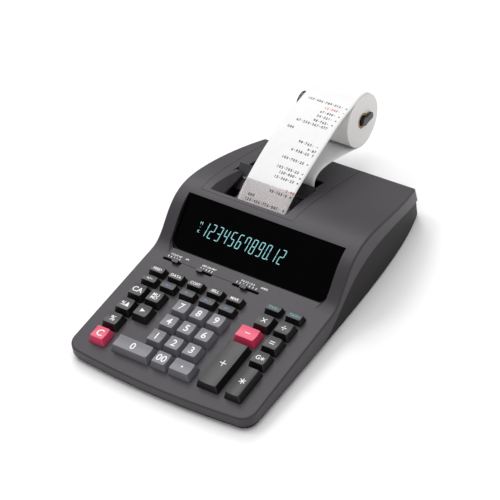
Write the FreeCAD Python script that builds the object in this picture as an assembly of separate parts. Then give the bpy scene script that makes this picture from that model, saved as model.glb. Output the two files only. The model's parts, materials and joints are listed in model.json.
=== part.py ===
import FreeCAD, Part
import math
import os

# Printing desk calculator with a paper roll on a holder behind it.
# Millimetres.  +X is the user's right, +Y points away from the user, +Z is up.
# The origin is on the table, under the centre of the object's box.
# Distances called "run" are measured from the front edge of the case towards the back.

V = FreeCAD.Vector

# ---- driving dimensions -------------------------------------------------------------
CASE_HALF_WIDTH = 108.0
CASE_LENGTH = 338.0
FRONT_ARC_RADIUS = 944.0
FRONT_CORNER_RADIUS = 15.0
REAR_CORNER_RADIUS = 3.0
TAIL_START_RUN = 130.0
TAIL_END_HALF_WIDTH = 90.6
TAIL_FIRST_HANDLE = (108.0, 215.0)
TAIL_SECOND_HANDLE = (106.0, 290.0)
WALL = 2.4
LOWER_INSET = 1.8
BASE_Z = 2.0
FLOOR_TOP_Z = BASE_Z + WALL
PARTING_GAP = 0.2

DECK_FRONT_Z = 16.0
DECK_ANGLE = 4.2
DECK_END_RUN = 148.0
CROWN_RUN = 215.0
CROWN_Z = 66.3
CROWN_SLOPE = 0.062
REAR_EDGE_RUN = 331.0
REAR_EDGE_Z = 40.0
REAR_SLOPE_END_Z = 14.0
TOP_EDGE_RADIUS = 2.0

WINDOW_FRONT_RUN = 160.6
WINDOW_FRONT_Z = 26.2
WINDOW_BACK_RUN = 203.3
WINDOW_BACK_Z = 63.5
WINDOW_HALF_WIDTH = 93.0
WINDOW_THICKNESS = 2.0
WINDOW_CORNER_RADIUS = 11.0
WINDOW_GAP = 0.3

KEY_HEIGHT = 8.2
SMALL_KEY_HEIGHT = 7.0
KEY_TRAVEL = 3.0
KEY_SINK = 2.0
LONG_KEY_DEPTH = 20.0
LONG_DISH_DEPTH = 0.9
KEY_GAP = 0.4
PLUNGER_RADIUS = 2.0
PLUNGER_BOTTOM = -3.5
MAT_TOP = -8.4
BOARD_TOP = -10.0
BOARD_THICKNESS = 1.6
DOME_TOP = -6.8

PAPER_WIDTH = 57.5
PAPER_LEFT = -45.5
PAPER_RIGHT = PAPER_LEFT + PAPER_WIDTH
PAPER_THICKNESS = 0.4
PAPER_GAP = 0.45
ROLL_RUN = 365.0
ROLL_Z = 75.4
ROLL_RADIUS = 28.8
CORE_OUTER_RADIUS = 8.5
CORE_BORE_RADIUS = 6.0
SPINDLE_RADIUS = 4.5

PLATEN_RUN = 210.0
PLATEN_Z = 48.0
PLATEN_RADIUS = 7.0
PLATEN_SHAFT_RADIUS = 2.0

COVER_LEFT = -84.0
COVER_RIGHT = 27.0
COVER_FRONT_RUN = 211.0
COVER_BOTTOM_Z = 31.0
COVER_GAP = 0.35

PARTING_FRONT_Z = 6.0
PARTING_LEVEL_END_RUN = 122.0
PARTING_PEAK = (226.0, 46.0)
PARTING_BACK = (345.0, 17.5)

WELL_RIGHT = 16.5
WELL_LEFT = -75.0
WELL_INNER_LEFT = -66.0
WELL_INNER_Z = 57.0
BEVEL_BACK_RUN = 257.0
WELL_FRONT_RUN = 214.5
WELL_BACK_RUN = 267.5
SLOT_LEFT = -69.0
SLOT_RIGHT = 13.0
SLOT_BACK_RUN = 287.0

INLET_X = 62.0
INLET_Z = 11.0
INLET_RADIUS = 4.2
INLET_RUN = CASE_LENGTH - LOWER_INSET + 0.1

FOOT_RADIUS = 7.0
FOOT_HEIGHT = 3.0
SCREW_PLACES = [(-97.0, 30.0), (97.0, 30.0), (-97.0, 152.0), (97.0, 152.0), (74.0, 318.0)]

OVERALL_LENGTH = ROLL_RUN + ROLL_RADIUS
TAIL_END_RUN = CASE_LENGTH - REAR_CORNER_RADIUS * 0.68
SMALLEST_CORNER_RADIUS = 1.0
FRONT_Y = -OVERALL_LENGTH / 2

# ---- keys: name, x, run of the centre, top width, top depth --------------------------
SMALL_TOP = (15.5, 7.6)
SQUARE_TOP = (14.3, 14.0)
NUMBER_COLUMNS = (-27.2, -6.5, 14.2)
SMALL_COLUMNS = (-79.6, -56.7, -33.2, -9.4, 13.8)
LEFT_COLUMNS = (-80.6, -59.4)
OPERATOR_COLUMNS = (56.0, 78.7)
ROW_ZERO = 28.6
ROW_ONE = 49.4
ROW_FOUR = 70.1
ROW_SEVEN = 90.7
ROW_TIMES = 111.0
ROW_LOWER_SMALL = 108.9
ROW_UPPER_SMALL = 122.5
ROW_TAX = 129.3

SMALL_KEYS = [
    ("key_feed", SMALL_COLUMNS[0], ROW_UPPER_SMALL),
    ("key_data", SMALL_COLUMNS[1], ROW_UPPER_SMALL),
    ("key_cost", SMALL_COLUMNS[2], ROW_UPPER_SMALL),
    ("key_sell", SMALL_COLUMNS[3], ROW_UPPER_SMALL),
    ("key_margin", SMALL_COLUMNS[4], ROW_UPPER_SMALL),
    ("key_sign", SMALL_COLUMNS[0], ROW_LOWER_SMALL),
    ("key_memory_plus", SMALL_COLUMNS[1], ROW_LOWER_SMALL),
    ("key_memory_minus", SMALL_COLUMNS[2], ROW_LOWER_SMALL),
    ("key_memory_subtotal", SMALL_COLUMNS[3], ROW_LOWER_SMALL),
    ("key_memory_total", SMALL_COLUMNS[4], ROW_LOWER_SMALL),
    ("key_tax_minus", OPERATOR_COLUMNS[0] - 1.2, ROW_TAX),
    ("key_tax_plus", OPERATOR_COLUMNS[1], ROW_TAX),
]

LARGE_KEYS = [
    ("key_clear_all", LEFT_COLUMNS[0], ROW_SEVEN, SQUARE_TOP),
    ("key_markup", LEFT_COLUMNS[1], ROW_SEVEN, SQUARE_TOP),
    ("key_percent_change", LEFT_COLUMNS[0], ROW_FOUR, SQUARE_TOP),
    ("key_backspace", LEFT_COLUMNS[1], ROW_FOUR, SQUARE_TOP),
    ("key_percent", LEFT_COLUMNS[0], ROW_ONE, SQUARE_TOP),
    ("key_clear", LEFT_COLUMNS[0], ROW_ZERO, SQUARE_TOP),
    ("key_7", NUMBER_COLUMNS[0], ROW_SEVEN, SQUARE_TOP),
    ("key_8", NUMBER_COLUMNS[1], ROW_SEVEN, SQUARE_TOP),
    ("key_9", NUMBER_COLUMNS[2], ROW_SEVEN, SQUARE_TOP),
    ("key_4", NUMBER_COLUMNS[0], ROW_FOUR, SQUARE_TOP),
    ("key_5", NUMBER_COLUMNS[1], ROW_FOUR, SQUARE_TOP),
    ("key_6", NUMBER_COLUMNS[2], ROW_FOUR, SQUARE_TOP),
    ("key_1", NUMBER_COLUMNS[0], ROW_ONE, SQUARE_TOP),
    ("key_2", NUMBER_COLUMNS[1], ROW_ONE, SQUARE_TOP),
    ("key_3", NUMBER_COLUMNS[2], ROW_ONE, SQUARE_TOP),
    ("key_0", -40.6, ROW_ZERO, (39.5, 14.0)),
    ("key_00", NUMBER_COLUMNS[1], ROW_ZERO, SQUARE_TOP),
    ("key_point", 17.6, ROW_ZERO, (21.2, 14.0)),
    ("key_minus", 50.6, ROW_SEVEN, (20.2, 14.0)),
    ("key_plus", 50.6, ROW_ONE, (20.2, 54.6)),
    ("key_multiply", OPERATOR_COLUMNS[0], ROW_TIMES, SQUARE_TOP),
    ("key_divide", OPERATOR_COLUMNS[1], ROW_TIMES, SQUARE_TOP),
    ("key_equals", OPERATOR_COLUMNS[1], ROW_SEVEN, SQUARE_TOP),
    ("key_grand_total", OPERATOR_COLUMNS[1], ROW_FOUR, SQUARE_TOP),
    ("key_total", OPERATOR_COLUMNS[1] + 0.8, 39.2, (14.3, 34.8)),
]

# ---- slide switches: name, left end and right end of the slot, knob centre -----------
SWITCH_RUN = 142.6
SWITCHES = [
    ("switch_rounding", -89.0, -66.5, -72.6),
    ("switch_print", -48.0, -29.0, -42.8),
    ("switch_decimal", -4.5, 27.0, 9.8),
]
SWITCH_SLOT_DEPTH = 3.4
SWITCH_KNOB_WIDTH = 6.4
SWITCH_CAP_WIDTH = 7.2
SWITCH_CAP_DEPTH = 4.6
SWITCH_CAP_HEIGHT = 3.6
GROOVE_WIDTH = 0.6


# ---- helpers ------------------------------------------------------------------------
def at(x, run, z):
    """A point from its distance behind the case's front edge."""
    return V(x, FRONT_Y + run, z)


def deck_z(run):
    """Height of the keyboard deck's top surface."""
    return DECK_FRONT_Z + run * math.tan(math.radians(DECK_ANGLE))


def tilt(shape, angle, x, run, z):
    """Move a shape built about the origin onto a slope that rises towards the back."""
    placed = shape.copy()
    placed.rotate(V(0, 0, 0), V(1, 0, 0), angle)
    placed.translate(at(x, run, z))
    return placed


def on_deck(shape, x, run):
    """Place a shape whose z=0 is the deck's surface."""
    return tilt(shape, DECK_ANGLE, x, run, deck_z(run))


def box(x0, x1, run0, run1, z0, z1):
    """An upright box from its limits."""
    return Part.makeBox(x1 - x0, run1 - run0, z1 - z0, at(x0, run0, z0))


def rod(radius, x0, x1, run, z):
    """A round bar along X."""
    return Part.makeCylinder(radius, x1 - x0, at(x0, run, z), V(1, 0, 0))


def post(radius, z0, z1, x, run):
    """A round upright bar."""
    return Part.makeCylinder(radius, z1 - z0, at(x, run, z0), V(0, 0, 1))


def bar_y(radius, x, run, length, z):
    """A round bar along Y."""
    return Part.makeCylinder(radius, length, at(x, run, z), V(0, 1, 0))


def line(a, b):
    return Part.LineSegment(a, b).toShape()


def bezier(points):
    curve = Part.BezierCurve()
    curve.setPoles(points)
    return curve.toShape()


def arc(centre, radius, start_angle, end_angle, point):
    """An arc in a plane, where point(a, b) turns plane coordinates into a vector."""
    def on_circle(angle):
        turn = math.radians(angle)
        return point(centre[0] + radius * math.cos(turn), centre[1] + radius * math.sin(turn))
    middle = (start_angle + end_angle) / 2
    return Part.Arc(on_circle(start_angle), on_circle(middle), on_circle(end_angle)).toShape()


def side_plane(x):
    """A point maker for a drawing in the side view: (run, z)."""
    return lambda run, z: at(x, run, z)


def polygon_x(points, x0, x1):
    """A bar along X whose side view is a polygon of (run, z) points."""
    corners = [at(x0, run, z) for run, z in points]
    face = Part.Face(Part.makePolygon(corners + [corners[0]]))
    return face.extrude(V(x1 - x0, 0, 0))


def rounded_wire(width, depth, radius, z):
    """A rounded rectangle about the origin, at height z."""
    half_w = width / 2
    half_d = depth / 2
    flat = lambda a, b: V(a, b, z)
    edges = []
    corners = [(1, -1, -90), (1, 1, 0), (-1, 1, 90), (-1, -1, 180)]
    for index, (sx, sy, start) in enumerate(corners):
        centre = (sx * (half_w - radius), sy * (half_d - radius))
        edges.append(arc(centre, radius, start, start + 90, flat))
        nx, ny, next_start = corners[(index + 1) % 4]
        next_centre = (nx * (half_w - radius), ny * (half_d - radius))
        end = math.radians(start + 90)
        begin = math.radians(next_start)
        a = V(centre[0] + radius * math.cos(end), centre[1] + radius * math.sin(end), z)
        b = V(next_centre[0] + radius * math.cos(begin), next_centre[1] + radius * math.sin(begin), z)
        edges.append(line(a, b))
    return Part.Wire(edges)


def rounded_bar(width, depth, radius, z0, z1):
    """An upright bar with a rounded rectangle as its plan, about the origin."""
    return Part.Face(rounded_wire(width, depth, radius, z0)).extrude(V(0, 0, z1 - z0))


# ---- the case's outline and profile --------------------------------------------------
def plan_face(inset, z):
    """The case's plan: a curved front, straight sides and a tail that narrows."""
    side = CASE_HALF_WIDTH - inset
    front_radius = FRONT_ARC_RADIUS - inset
    corner = FRONT_CORNER_RADIUS - inset
    corner_x = side - corner
    corner_run = FRONT_ARC_RADIUS - math.sqrt((front_radius - corner) ** 2 - corner_x ** 2)
    reach = front_radius / (front_radius - corner)
    touch = (corner_x * reach, FRONT_ARC_RADIUS - (FRONT_ARC_RADIUS - corner_run) * reach)
    tail_turn = math.atan2(TAIL_SECOND_HANDLE[0] - TAIL_END_HALF_WIDTH, TAIL_END_RUN - TAIL_SECOND_HANDLE[1])
    tail_end = (TAIL_END_HALF_WIDTH - math.cos(tail_turn) * inset, TAIL_END_RUN - math.sin(tail_turn) * inset)
    rear_radius = max(REAR_CORNER_RADIUS - inset, SMALLEST_CORNER_RADIUS)
    rear_centre = (tail_end[0] - math.cos(tail_turn) * rear_radius, tail_end[1] - math.sin(tail_turn) * rear_radius)
    rear_middle = (tail_turn + math.pi / 2) / 2
    rear_arc_middle = (rear_centre[0] + rear_radius * math.cos(rear_middle),
                       rear_centre[1] + rear_radius * math.sin(rear_middle))
    rear_end = (rear_centre[0], rear_centre[1] + rear_radius)
    start = math.radians(-45)
    corner_middle = (corner_x + corner * math.cos(start), corner_run + corner * math.sin(start))

    def half(sign):
        """The edges of one side, from the front to the back."""
        return [
            Part.Arc(at(sign * touch[0], touch[1], z), at(sign * corner_middle[0], corner_middle[1], z),
                     at(sign * side, corner_run, z)).toShape(),
            line(at(sign * side, corner_run, z), at(sign * side, TAIL_START_RUN, z)),
            bezier([at(sign * side, TAIL_START_RUN, z),
                    at(sign * (TAIL_FIRST_HANDLE[0] - inset), TAIL_FIRST_HANDLE[1], z),
                    at(sign * (TAIL_SECOND_HANDLE[0] - inset), TAIL_SECOND_HANDLE[1], z),
                    at(sign * tail_end[0], tail_end[1], z)]),
            Part.Arc(at(sign * tail_end[0], tail_end[1], z),
                     at(sign * rear_arc_middle[0], rear_arc_middle[1], z),
                     at(sign * rear_end[0], rear_end[1], z)).toShape(),
        ]

    front = Part.Arc(at(-touch[0], touch[1], z), at(0, inset, z), at(touch[0], touch[1], z)).toShape()
    rear = line(at(rear_end[0], rear_end[1], z), at(-rear_end[0], rear_end[1], z))
    edges = [front] + half(1) + [rear] + half(-1)
    return Part.Face(Part.Wire(Part.__sortEdges__(edges)))


def profile_bar(inset):
    """The case's side profile as a bar along X: deck, slope, crown and falling back."""
    x0 = -CASE_HALF_WIDTH - 10
    point = side_plane(x0)
    tan_deck = math.tan(math.radians(DECK_ANGLE))
    deck_start = point(-10, deck_z(-10) - inset)
    deck_end = point(DECK_END_RUN + 0.35 * inset, deck_z(DECK_END_RUN + 0.35 * inset) - inset)
    rise = [deck_end,
            point(172 + 0.7 * inset, deck_end.z + (172 - DECK_END_RUN + 0.35 * inset) * tan_deck),
            point(178 + 0.9 * inset, CROWN_Z - (CROWN_RUN - 178 - 0.9 * inset) * CROWN_SLOPE - inset),
            point(CROWN_RUN, CROWN_Z - inset)]
    rear_top = point(REAR_EDGE_RUN - 0.8 * inset, REAR_EDGE_Z - 0.9 * inset)
    fall = [rise[3], point(240, CROWN_Z + 25 * CROWN_SLOPE - inset), point(290 - 0.3 * inset, 52 - inset), rear_top]
    rear_low = point(CASE_LENGTH - inset + 0.3, REAR_SLOPE_END_Z)
    rear_foot = point(CASE_LENGTH - inset + 0.3, -5)
    front_foot = point(-10, -5)
    edges = [line(front_foot, deck_start), line(deck_start, deck_end), bezier(rise), bezier(fall),
             line(rear_top, rear_low), line(rear_low, rear_foot), line(rear_foot, front_foot)]
    return Part.Face(Part.Wire(edges)).extrude(V(-2 * x0, 0, 0))


def below_parting(drop):
    """Everything under the joint between the two case halves, lowered by drop."""
    x0 = -CASE_HALF_WIDTH - 10
    point = side_plane(x0)
    start = point(-10, PARTING_FRONT_Z - drop)
    level_end = point(PARTING_LEVEL_END_RUN, PARTING_FRONT_Z - drop)
    peak = point(PARTING_PEAK[0], PARTING_PEAK[1] - drop)
    back = point(PARTING_BACK[0], PARTING_BACK[1] - drop)
    climb = bezier([level_end, point(158, PARTING_FRONT_Z - drop), point(172, 44 - drop), peak])
    descend = bezier([peak, point(262, 47.3 - drop), point(300, 36 - drop), back])
    low_back = point(PARTING_BACK[0], -10)
    low_front = point(-10, -10)
    edges = [line(start, level_end), climb, descend, line(back, low_back), line(low_back, low_front),
             line(low_front, start)]
    return Part.Face(Part.Wire(edges)).extrude(V(-2 * x0, 0, 0))


def case_body(inset):
    """The full solid inside the case's skin at a given depth."""
    return plan_face(inset, -5).extrude(V(0, 0, 100)).common(profile_bar(inset))


def top_side_edges(solid):
    """The long edges where the top meets the walls."""
    chosen = []
    for edge in solid.Edges:
        middle = edge.valueAt((edge.FirstParameter + edge.LastParameter) / 2)
        ends = [vertex.Point for vertex in edge.Vertexes]
        across = abs(ends[0].y - ends[-1].y) < 0.01 and abs(ends[0].x - ends[-1].x) > 60
        upright = abs(ends[0].x - ends[-1].x) < 2 and abs(ends[0].z - ends[-1].z) > 10 and \
            abs(ends[0].y - ends[-1].y) < 8
        front = across and middle.y < FRONT_Y + 3 and middle.z > 10
        if middle.z > 12 and not upright and (front or not across):
            chosen.append(edge)
    return chosen


# ---- openings in the case ------------------------------------------------------------
WINDOW_ANGLE = math.degrees(math.atan2(WINDOW_BACK_Z - WINDOW_FRONT_Z, WINDOW_BACK_RUN - WINDOW_FRONT_RUN))
WINDOW_LENGTH = math.hypot(WINDOW_BACK_Z - WINDOW_FRONT_Z, WINDOW_BACK_RUN - WINDOW_FRONT_RUN)


def window_outline(grow, bottom):
    """The window's flat outline, rounded at its two front corners."""
    half_w = WINDOW_HALF_WIDTH + grow
    radius = WINDOW_CORNER_RADIUS + grow
    flat = lambda a, b: V(a, b, bottom)
    low = -grow
    high = WINDOW_LENGTH + grow
    edges = [
        line(V(-half_w + radius, low, bottom), V(half_w - radius, low, bottom)),
        arc((half_w - radius, low + radius), radius, -90, 0, flat),
        line(V(half_w, low + radius, bottom), V(half_w, high, bottom)),
        line(V(half_w, high, bottom), V(-half_w, high, bottom)),
        line(V(-half_w, high, bottom), V(-half_w, low + radius, bottom)),
        arc((-half_w + radius, low + radius), radius, 180, 270, flat),
    ]
    return Part.Face(Part.Wire(edges))


def on_window(shape):
    """Place a shape whose z=0 is the window's outer face and whose y=0 is its front edge."""
    return tilt(shape, WINDOW_ANGLE, 0, WINDOW_FRONT_RUN, WINDOW_FRONT_Z)


def window_plate(grow, bottom, top):
    """A plate of the window's outline between two heights over its outer face."""
    return on_window(window_outline(grow, bottom).extrude(V(0, 0, top - bottom)))


def window_pocket():
    """The space cut for the window, open towards the front where the deck runs in."""
    pocket = window_plate(WINDOW_GAP, -WINDOW_THICKNESS, 30)
    approach = polygon_x([(DECK_END_RUN, deck_z(DECK_END_RUN)),
                          (WINDOW_FRONT_RUN, deck_z(WINDOW_FRONT_RUN) - 0.6),
                          (WINDOW_FRONT_RUN + 4, deck_z(WINDOW_FRONT_RUN) + 3.0),
                          (WINDOW_FRONT_RUN + 4, 60), (DECK_END_RUN, 60)],
                         -WINDOW_HALF_WIDTH - WINDOW_GAP, WINDOW_HALF_WIDTH + WINDOW_GAP)
    towards_user = on_window(window_outline(WINDOW_GAP, 0)).extrude(V(0, -30, 0))
    approach = approach.common(towards_user)
    view = on_window(Part.makeBox(2 * WINDOW_HALF_WIDTH - 16, WINDOW_LENGTH - 14, 20,
                                  V(-WINDOW_HALF_WIDTH + 8, 7, -15)))
    return pocket, approach, view


def window_backing():
    """The ledge inside the case that carries the window."""
    return window_plate(2.0, -WINDOW_THICKNESS - 2.0, -WINDOW_THICKNESS)


def cover_region(gap):
    """The prism that holds the removable printer cover."""
    return box(COVER_LEFT - gap, COVER_RIGHT + gap, COVER_FRONT_RUN - gap, CASE_LENGTH + 20,
               COVER_BOTTOM_Z - gap, 90)


def well_opening():
    """The opening over the printer."""
    return box(WELL_LEFT, WELL_RIGHT, WELL_FRONT_RUN, WELL_BACK_RUN, 20, 90)


def well_bevel():
    """The wall that slopes into the opening from its left rim."""
    rim_z = CROWN_Z + 2.0
    outline = [(WELL_LEFT - 2.0, rim_z), (WELL_LEFT, rim_z), (WELL_LEFT, CROWN_Z), (WELL_INNER_LEFT, WELL_INNER_Z),
               (WELL_INNER_LEFT, WELL_INNER_Z - 2.2), (WELL_INNER_LEFT - 2.0, WELL_INNER_Z - 2.2),
               (WELL_LEFT - 2.0, CROWN_Z - 2.3)]
    corners = [at(x, WELL_FRONT_RUN, z) for x, z in outline]
    wall = Part.Face(Part.makePolygon(corners + [corners[0]])).extrude(V(0, BEVEL_BACK_RUN - WELL_FRONT_RUN, 0))
    return wall.common(case_body(0))


def slot_opening():
    """The opening behind the guide plate, where the paper goes in."""
    return box(SLOT_LEFT, SLOT_RIGHT, WELL_BACK_RUN - 1, SLOT_BACK_RUN, 20, 90)


def key_base(top):
    """A key's width and depth where it leaves the deck."""
    flare = 4.2 if top[1] > 10 else 3.0
    return top[0] + flare, top[1] + flare


def key_hole(x, run, top):
    width, depth = key_base(top)
    hole = rounded_bar(width + 2 * KEY_GAP, depth + 2 * KEY_GAP, 1.6, -6, 4)
    return on_deck(hole, x, run)


def switch_slot(left, right):
    slot = rounded_bar(right - left, SWITCH_SLOT_DEPTH, 1.2, -6, 4)
    return on_deck(slot, (left + right) / 2, SWITCH_RUN)


def all_keys():
    """Every key as name, x, run, top size and height."""
    keys = [(name, x, run, SMALL_TOP, SMALL_KEY_HEIGHT) for name, x, run in SMALL_KEYS]
    keys += [(name, x, run, top, KEY_HEIGHT) for name, x, run, top in LARGE_KEYS]
    return keys


# ---- case pieces ---------------------------------------------------------------------
def make_case_shell():
    """The whole upper skin before the cover is cut out of it."""
    outer = case_body(0)
    outer = outer.makeFillet(TOP_EDGE_RADIUS, top_side_edges(outer))
    return outer.cut(case_body(WALL)).cut(below_parting(0))


def upper_bosses():
    """Screw bosses hanging under the upper case."""
    bosses = []
    for x, run in SCREW_PLACES:
        top = min(deck_z(run), 50) if run < 200 else 43.0
        boss = post(4.0, boss_floor(run), top - 1.0, x, run)
        bosses.append(boss.cut(post(1.3, boss_floor(run) - 1, boss_floor(run) + 6, x, run)))
    return bosses


def boss_floor(run):
    """Height where the lower post meets the upper boss."""
    return 8.0 if run < 60 else 16.0


def make_upper_case(shell):
    pocket, approach, view = window_pocket()
    case = shell.cut(pocket).cut(approach)
    case = case.fuse(window_backing().common(case_body(0.8)).cut(cover_region(2))).cut(view).cut(approach)
    case = case.fuse([boss.common(case_body(1.0)) for boss in upper_bosses()])
    case = case.cut(cover_region(COVER_GAP).common(case_body(0).fuse(box(-200, 200, 200, 400, 0, 90))))
    holes = [key_hole(x, run, top) for name, x, run, top, height in all_keys()]
    holes += [switch_slot(left, right) for name, left, right, knob in SWITCHES]
    case = case.cut(holes)
    case = case.cut(deck_groove())
    return case.fuse(cover_rests()).removeSplitter()


def deck_groove():
    """The fine line in the deck that joins the switch slots."""
    groove = Part.makeBox(62, GROOVE_WIDTH, 2, V(-31, -GROOVE_WIDTH / 2, -0.4))
    return on_deck(groove, -35.5, SWITCH_RUN + 1.3)


def cover_rests():
    """Two tongues under the cover's front edge, at either side of the paper."""
    rests = []
    for x0, x1 in ((COVER_LEFT + 4, PAPER_LEFT - 6), (PAPER_RIGHT + 4, COVER_RIGHT - 3)):
        block = box(x0, x1, COVER_FRONT_RUN - 5, COVER_FRONT_RUN - 0.5, 61.0, 65.0)
        tongue = box(x0, x1, COVER_FRONT_RUN - 1, COVER_FRONT_RUN + 3, 61.0, 63.2)
        rests += [block, tongue]
    return rests


def make_printer_cover(shell):
    cover = shell.common(cover_region(0))
    return cover.cut(well_opening()).cut(slot_opening()).fuse(well_bevel()).removeSplitter()


def make_lower_case():
    outer = plan_face(LOWER_INSET, BASE_Z).extrude(V(0, 0, 60)).common(below_parting(PARTING_GAP))
    inner = plan_face(LOWER_INSET + WALL, FLOOR_TOP_Z).extrude(V(0, 0, 60))
    tray = outer.cut(inner)
    posts = [post(4.0, FLOOR_TOP_Z - 0.5, boss_floor(run), x, run) for x, run in SCREW_PLACES]
    tray = tray.fuse(posts)
    for x, run in SCREW_PLACES:
        tray = tray.cut(post(1.7, 0, 30, x, run))
        tray = tray.cut(post(3.4, 0, BASE_Z + 2.0, x, run))
    for x, run in foot_places():
        tray = tray.cut(post(FOOT_RADIUS, 0, BASE_Z + 1.0, x, run))
    return tray.cut(bar_y(INLET_RADIUS, INLET_X, INLET_RUN - 12.0, 20.0, INLET_Z)).removeSplitter()


def foot_places():
    return [(-86.0, 22.0), (86.0, 22.0), (-78.0, 300.0), (78.0, 300.0)]


def make_rubber_feet():
    feet = []
    for x, run in foot_places():
        foot = post(FOOT_RADIUS, 0, FOOT_HEIGHT, x, run)
        rim = [edge for edge in foot.Edges if edge.BoundBox.ZMax < 0.01 and edge.BoundBox.XLength > FOOT_RADIUS]
        feet.append(foot.makeFillet(0.8, rim))
    return Part.makeCompound(feet)


def make_case_screws():
    screws = []
    for x, run in SCREW_PLACES:
        head = post(2.8, BASE_Z + 0.4, BASE_Z + 2.0, x, run)
        shank = post(1.3, BASE_Z + 2.0, boss_floor(run) + 5.5, x, run)
        screws.append(head.fuse(shank))
    return Part.makeCompound(screws)


def make_cord_inlet():
    """The round inlet in the back wall, with its flange."""
    flange = bar_y(6.0, INLET_X, INLET_RUN, 1.6, INLET_Z)
    barrel = bar_y(INLET_RADIUS, INLET_X, INLET_RUN - 9.0, 9.0, INLET_Z)
    bore = bar_y(2.6, INLET_X, INLET_RUN - 10.0, 12.0, INLET_Z)
    return flange.fuse(barrel).cut(bore)


# ---- keyboard ------------------------------------------------------------------------
def make_key(x, run, top, height):
    """A keycap: flared skirt, dished top and a plunger below; a long key is dished across its width."""
    width, depth = key_base(top)
    skirt_low = rounded_wire(width, depth, 1.4, -KEY_SINK)
    skirt_deck = rounded_wire(width, depth, 1.4, 0.6)
    skirt_top = rounded_wire(top[0], top[1], 1.2, height)
    cap = Part.makeLoft([skirt_deck, skirt_top], True, True)
    foot = Part.Face(skirt_low).extrude(V(0, 0, KEY_SINK + 0.6))
    cap = cap.fuse(foot)
    if top[1] > LONG_KEY_DEPTH:
        radius = top[0] ** 2 / (7 * LONG_DISH_DEPTH)
        axis_z = height - LONG_DISH_DEPTH + radius
        dish = Part.makeCylinder(radius, top[1] + 20, V(0, -top[1] / 2 - 10, axis_z), V(0, 1, 0))
    else:
        radius, dish_depth = (34.0, 0.7) if top[1] > 10 else (24.0, 0.4)
        axis_z = height - dish_depth + radius
        dish = Part.makeCylinder(radius, top[0] + 20, V(-top[0] / 2 - 10, 0, axis_z), V(1, 0, 0))
    cap = cap.cut(dish)
    plunger = Part.makeCylinder(PLUNGER_RADIUS, KEY_SINK - PLUNGER_BOTTOM, V(0, 0, PLUNGER_BOTTOM))
    cap = cap.fuse(plunger.common(Part.makeBox(40, 60, 6, V(-20, -30, PLUNGER_BOTTOM))))
    return on_deck(cap.removeSplitter(), x, run)


def make_switch_knob(x):
    """A slider: a cap over the deck, a stem through the slot and a foot under it."""
    stem = rounded_bar(SWITCH_KNOB_WIDTH, SWITCH_SLOT_DEPTH - 0.6, 0.8, -3.0, 1.0)
    cap = rounded_bar(SWITCH_CAP_WIDTH, SWITCH_CAP_DEPTH, 1.0, 0.4, SWITCH_CAP_HEIGHT)
    cap.translate(V(0, -0.6, 0))
    foot = Part.makeBox(SWITCH_KNOB_WIDTH, 8.0, 1.4, V(-SWITCH_KNOB_WIDTH / 2, -4.0, -4.4))
    return on_deck(cap.fuse([stem, foot]).removeSplitter(), x, SWITCH_RUN)


BOARD_FRONT_RUN = 14.0
BOARD_BACK_RUN = 136.0
BOARD_HALF_WIDTH = 92.0


def deck_slab(half_width, front, back, low, high):
    """A flat slab parallel to the deck."""
    middle = (front + back) / 2
    slab = Part.makeBox(2 * half_width, back - front, high - low, V(-half_width, -(back - front) / 2, low))
    return on_deck(slab, 0, middle)


def make_main_board():
    return deck_slab(BOARD_HALF_WIDTH, BOARD_FRONT_RUN, BOARD_BACK_RUN, BOARD_TOP - BOARD_THICKNESS, BOARD_TOP)


def make_key_mat():
    mat = deck_slab(BOARD_HALF_WIDTH, BOARD_FRONT_RUN, BOARD_BACK_RUN, BOARD_TOP, MAT_TOP)
    domes = []
    for name, x, run, top, height in all_keys():
        dome = Part.makeCone(3.6, 2.4, DOME_TOP - MAT_TOP + 0.2, V(0, 0, MAT_TOP - 0.2))
        domes.append(on_deck(dome, x, run))
    return mat.fuse(domes).removeSplitter()


# ---- display -------------------------------------------------------------------------
def make_display_window():
    return window_plate(0, -WINDOW_THICKNESS, 0)


def make_display_tube():
    """The glass display tube, with its board behind it."""
    glass = Part.makeBox(150, 20, 5, V(-78, 11, -11.0))
    board = Part.makeBox(160, 25, 1.6, V(-83, 8, -12.6))
    return tilt(glass.fuse(board), WINDOW_ANGLE, 0, WINDOW_FRONT_RUN, WINDOW_FRONT_Z)


# ---- printer -------------------------------------------------------------------------
FRAME_LEFT = -76.0
FRAME_RIGHT = 22.0
CHEEK = 2.0
FRAME_FRONT_RUN = 196.0
CARRIAGE_RUN = 201.5
CARRIAGE_Z = 30.0
CARRIAGE_SHAFT_RADIUS = 2.0
GUIDE_TOP_RUN = 266.0
GUIDE_TOP_Z = 63.5
GUIDE_LOW_RUN = 257.0
GUIDE_LOW_Z = 54.0
LEDGE_DEPTH = 2.4
GUIDE_LEFT_GAP = 0.9


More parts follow.
